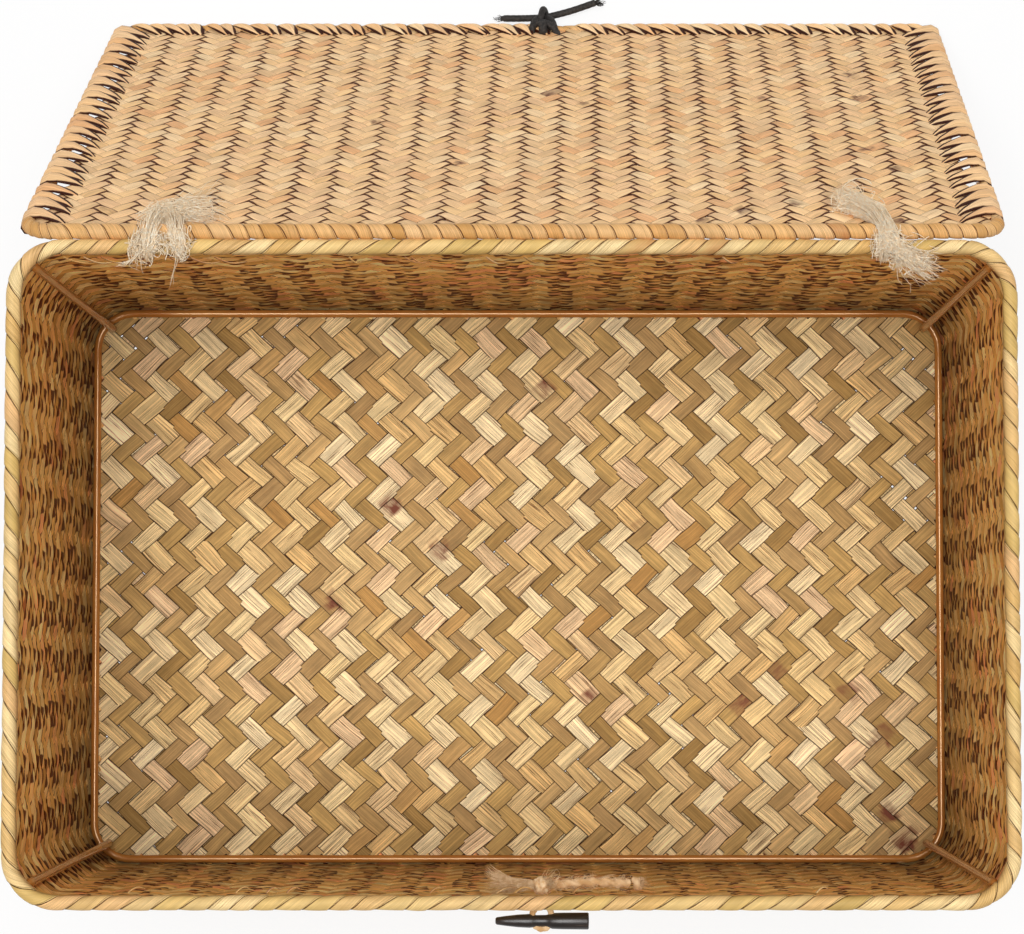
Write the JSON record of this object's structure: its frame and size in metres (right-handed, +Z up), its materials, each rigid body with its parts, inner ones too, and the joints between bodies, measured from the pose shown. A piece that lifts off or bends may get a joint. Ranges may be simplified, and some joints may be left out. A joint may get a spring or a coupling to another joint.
{
  "type": "picnic basket",
  "caption": "Rectangular plaited basket with a rod frame, bound rim and a lid tied on with twine, closed by a cord loop over a toggle.",
  "frame": {"origin": "centre of the basket's underside, on the surface it stands on", "axes": "+Z up, +Y from the toggle side to the hinge side, +X along the length to the right seen from the toggle side"},
  "size_m": [0.4082, 0.4234, 0.2316],
  "materials": {
    "plait_basket": "matt dried seagrass, tan and olive strips in a twill plait",
    "binding_rim": "satin straw-yellow wrapping strip",
    "plait_lid": "matt dried seagrass, fine pale twill plait",
    "binding_lid": "satin straw-orange wrapping strip",
    "frame_rod": "glossy brown coating on steel rod",
    "jute": "hairy twisted jute twine",
    "black_cord": "matt braided polyester cord",
    "horn": "dark stained wood or horn with a soft sheen"
  },
  "bodies": {
    "basket": {"basket_plait": "plait_basket", "base_ring": "frame_rod", "rim_ring": "frame_rod", "corner_post_front_left": "frame_rod", "corner_post_front_right": "frame_rod", "corner_post_back_left": "frame_rod", "corner_post_back_right": "frame_rod", "rim_binding": "binding_rim", "hinge_tie_left": "jute", "hinge_tie_right": "jute", "toggle_knot": "jute", "toggle_knot_tail": "jute", "toggle_knot_end": "jute"},
    "lid": {"lid_plait": "plait_lid", "lid_ring": "frame_rod", "lid_binding": "binding_lid", "closure_knot": "black_cord"},
    "toggle": {"toggle": "horn", "toggle_twine": "jute"},
    "loop": {"closure_loop": "black_cord"}
  },
  "joints": [
    {"name": "lid_hinge", "type": "hinge", "parent": "basket", "child": "lid", "pos_m": [0, 0.13352, 0.23114], "axis": [1, 0, 0], "range_deg": [0, 238.5], "deforming": ["hinge_tie_left", "hinge_tie_right"]},
    {"name": "closure_loop_swing", "type": "hinge", "parent": "lid", "child": "loop", "pos_m": [0.012, 0.25833, 0.00785], "axis": [1, 0, 0], "range_deg": [0, 187.4]},
    {"name": "toggle_turn", "type": "hinge", "parent": "basket", "child": "toggle", "pos_m": [0.012, -0.13768, 0.2101], "axis": [0, 1, 0], "range_deg": [-90, 90]}
  ]
}
